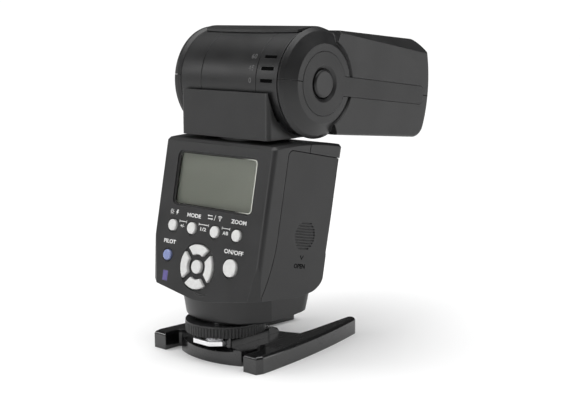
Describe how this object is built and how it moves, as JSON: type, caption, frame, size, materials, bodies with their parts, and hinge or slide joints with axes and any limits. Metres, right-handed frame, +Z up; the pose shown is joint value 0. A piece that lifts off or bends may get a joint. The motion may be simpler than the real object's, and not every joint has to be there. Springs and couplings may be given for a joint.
{
  "type": "speedlight flash",
  "caption": "Camera hot-shoe flash on a mini stand: tilting, swivelling lamp head, leaning body with display and keys, sliding battery door, ribbed locking ring.",
  "frame": {"origin": "Mouth of the tripod thread in the middle of the stand's underside, on the axis of the hot-shoe foot and locking ring; the ground is z = 0.", "axes": "+Z up, +Y the way the lamp head points at rest, +X towards the battery door; the display and keys face -Y."},
  "size_m": [0.0743, 0.124, 0.1498],
  "materials": {
    "stand_black": "polished black ABS",
    "brass": "turned brass",
    "foot_metal": "bright plated shoe metal",
    "steel": "plain steel",
    "washer_metal": "stamped spring steel",
    "ring_black": "ribbed black plastic",
    "housing_black": "fine satin black plastic",
    "case_black": "fine satin black plastic",
    "door_black": "fine satin black plastic",
    "inner_plastic": "plain moulded plastic",
    "lcd_glass": "clear flat window",
    "lcd_display": "grey-green display, switched off",
    "membrane_rubber": "silicone keypad",
    "board": "green solder mask",
    "key_white": "pale grey hard plastic",
    "pilot_blue": "translucent blue plastic",
    "indicator_violet": "dark violet window",
    "cell_jacket": "printed cell jacket",
    "contact_metal": "plated contact metal",
    "capacitor_sleeve": "shrink sleeve",
    "transformer_core": "taped ferrite",
    "sensor_red": "dark red infrared window",
    "sensor_dark": "sensor package",
    "neck_black": "fine satin black plastic",
    "drum_black": "fine satin black plastic",
    "head_black": "fine satin black plastic",
    "cap_black": "fine satin black plastic",
    "button_black": "domed black button",
    "lens_clear": "clear ribbed lens",
    "reflector_metal": "bright anodised sheet",
    "tube_glass": "quartz glass",
    "card_white": "white card"
  },
  "bodies": {
    "stand": {"stand_base": "stand_black", "tripod_bush": "brass"},
    "flash_body": {"hot_shoe_foot": "foot_metal", "shoe_contacts": "brass", "foot_screws": "steel", "foot_housing": "housing_black", "rear_case": "case_black", "front_case": "case_black", "lcd_window": "lcd_glass", "lcd_panel": "lcd_display", "key_membrane": "membrane_rubber", "control_board": "board", "indicator_lens": "indicator_violet", "battery_bay": "inner_plastic", "aa_cells": "cell_jacket", "battery_contacts": "contact_metal", "battery_springs": "contact_metal", "main_capacitor": "capacitor_sleeve", "power_board": "board", "transformer": "transformer_core", "board_screws": "steel", "sensor_window": "sensor_red", "slave_sensor": "sensor_dark", "swivel_bearing": "inner_plastic", "door_hinge_pin": "steel"},
    "ring": {"lock_ring": "ring_black"},
    "washer": {"pressure_washer": "washer_metal"},
    "pin": {"lock_pin": "steel"},
    "door_slider": {"door_hinge_sleeve": "door_black"},
    "door": {"battery_door": "door_black"},
    "neck": {"swivel_tube": "inner_plastic", "swivel_retainer": "steel", "neck_shell": "neck_black", "tilt_drum": "drum_black"},
    "head": {"head_top_shell": "head_black", "head_bottom_shell": "head_black", "right_side_cap": "cap_black", "left_side_cap": "cap_black", "fresnel_lens": "lens_clear", "guide_rods": "steel", "zoom_motor": "steel", "head_screws": "steel"},
    "release": {"tilt_release_button": "button_black"},
    "zoom_carriage": {"reflector": "reflector_metal", "xenon_tube": "tube_glass"},
    "zoom_screw": {"lead_screw": "steel"},
    "panel": {"wide_panel": "lens_clear"},
    "card": {"bounce_card": "card_white"},
    "key_lamp_body": {"key_lamp": "key_white"},
    "key_mode_body": {"key_mode": "key_white"},
    "key_wireless_body": {"key_wireless": "key_white"},
    "key_zoom_body": {"key_zoom": "key_white"},
    "key_power_body": {"key_power": "key_white"},
    "key_pilot_body": {"key_pilot": "pilot_blue"},
    "key_centre_body": {"key_centre": "key_white"},
    "key_up_body": {"key_up": "key_white"},
    "key_right_body": {"key_right": "key_white"},
    "key_down_body": {"key_down": "key_white"},
    "key_left_body": {"key_left": "key_white"}
  },
  "joints": [
    {"name": "shoe_slide", "type": "slide", "parent": "stand", "child": "flash_body", "axis": [0, -1, 0], "range_m": [0, 0.03]},
    {"name": "ring_turn", "type": "hinge", "parent": "flash_body", "child": "ring", "pos_m": [0, 0, 0.0148], "axis": [0, 0, 1], "range_deg": [0, 270]},
    {"name": "washer_lift", "type": "slide", "parent": "flash_body", "child": "washer", "axis": [0, 0, 1], "range_m": [0, 0.00075]},
    {"name": "pin_lift", "type": "slide", "parent": "flash_body", "child": "pin", "axis": [0, 0, 1], "range_m": [0, 0.0017]},
    {"name": "door_slide", "type": "slide", "parent": "flash_body", "child": "door_slider", "axis": [0, -0.2007, -0.9796], "range_m": [0, 0.004]},
    {"name": "door_swing", "type": "hinge", "parent": "door_slider", "child": "door", "pos_m": [0.0312, 0.03302, 0.0622], "axis": [0, 0.2007, 0.9796], "range_deg": [0, 95]},
    {"name": "head_swivel", "type": "hinge", "parent": "flash_body", "child": "neck", "pos_m": [0, 0.02, 0.1], "axis": [0, 0, 1], "range_deg": [-90, 180]},
    {"name": "head_tilt", "type": "hinge", "parent": "neck", "child": "head", "pos_m": [0, 0.0265, 0.1246], "axis": [1, 0, 0], "range_deg": [0, 97]},
    {"name": "tilt_release", "type": "slide", "parent": "head", "child": "release", "axis": [-1, 0, 0], "range_m": [0, 0.0015], "stiffness_N_per_m": 1000},
    {"name": "zoom_travel", "type": "slide", "parent": "head", "child": "zoom_carriage", "axis": [0, 0.9925, -0.1219], "range_m": [0, 0.014]},
    {"name": "zoom_screw_turn", "type": "hinge", "parent": "head", "child": "zoom_screw", "pos_m": [0, 0.07448, 0.10511], "axis": [0, 0.9925, -0.1219], "range_deg": [0, 2521]},
    {"name": "panel_slide", "type": "slide", "parent": "head", "child": "panel", "axis": [0, 0.9925, -0.1219], "range_m": [0, 0.042]},
    {"name": "card_slide", "type": "slide", "parent": "head", "child": "card", "axis": [0, 0.9925, -0.1219], "range_m": [0, 0.042]},
    {"name": "key_lamp_press", "type": "slide", "parent": "flash_body", "child": "key_lamp_body", "axis": [0, 0.9796, -0.2007], "range_m": [0, 0.0005], "stiffness_N_per_m": 1000},
    {"name": "key_mode_press", "type": "slide", "parent": "flash_body", "child": "key_mode_body", "axis": [0, 0.9796, -0.2007], "range_m": [0, 0.0005], "stiffness_N_per_m": 1000},
    {"name": "key_wireless_press", "type": "slide", "parent": "flash_body", "child": "key_wireless_body", "axis": [0, 0.9796, -0.2007], "range_m": [0, 0.0005], "stiffness_N_per_m": 1000},
    {"name": "key_zoom_press", "type": "slide", "parent": "flash_body", "child": "key_zoom_body", "axis": [0, 0.9796, -0.2007], "range_m": [0, 0.0005], "stiffness_N_per_m": 1000},
    {"name": "key_power_press", "type": "slide", "parent": "flash_body", "child": "key_power_body", "axis": [0, 0.9796, -0.2007], "range_m": [0, 0.0005], "stiffness_N_per_m": 1000},
    {"name": "key_pilot_press", "type": "slide", "parent": "flash_body", "child": "key_pilot_body", "axis": [0, 0.9796, -0.2007], "range_m": [0, 0.0005], "stiffness_N_per_m": 1000},
    {"name": "key_centre_press", "type": "slide", "parent": "flash_body", "child": "key_centre_body", "axis": [0, 0.9796, -0.2007], "range_m": [0, 0.0005], "stiffness_N_per_m": 1000},
    {"name": "key_up_press", "type": "slide", "parent": "flash_body", "child": "key_up_body", "axis": [0, 0.9796, -0.2007], "range_m": [0, 0.0005], "stiffness_N_per_m": 1000},
    {"name": "key_right_press", "type": "slide", "parent": "flash_body", "child": "key_right_body", "axis": [0, 0.9796, -0.2007], "range_m": [0, 0.0005], "stiffness_N_per_m": 1000},
    {"name": "key_down_press", "type": "slide", "parent": "flash_body", "child": "key_down_body", "axis": [0, 0.9796, -0.2007], "range_m": [0, 0.0005], "stiffness_N_per_m": 1000},
    {"name": "key_left_press", "type": "slide", "parent": "flash_body", "child": "key_left_body", "axis": [0, 0.9796, -0.2007], "range_m": [0, 0.0005], "stiffness_N_per_m": 1000}
  ],
  "couplings": [
    {"joint": "washer_lift", "follows": "ring_turn", "m_per_rad": 0.000159},
    {"joint": "pin_lift", "follows": "ring_turn", "m_per_rad": 0.00036},
    {"joint": "zoom_screw_turn", "follows": "zoom_travel", "rad_per_m": 3141.6}
  ]
}
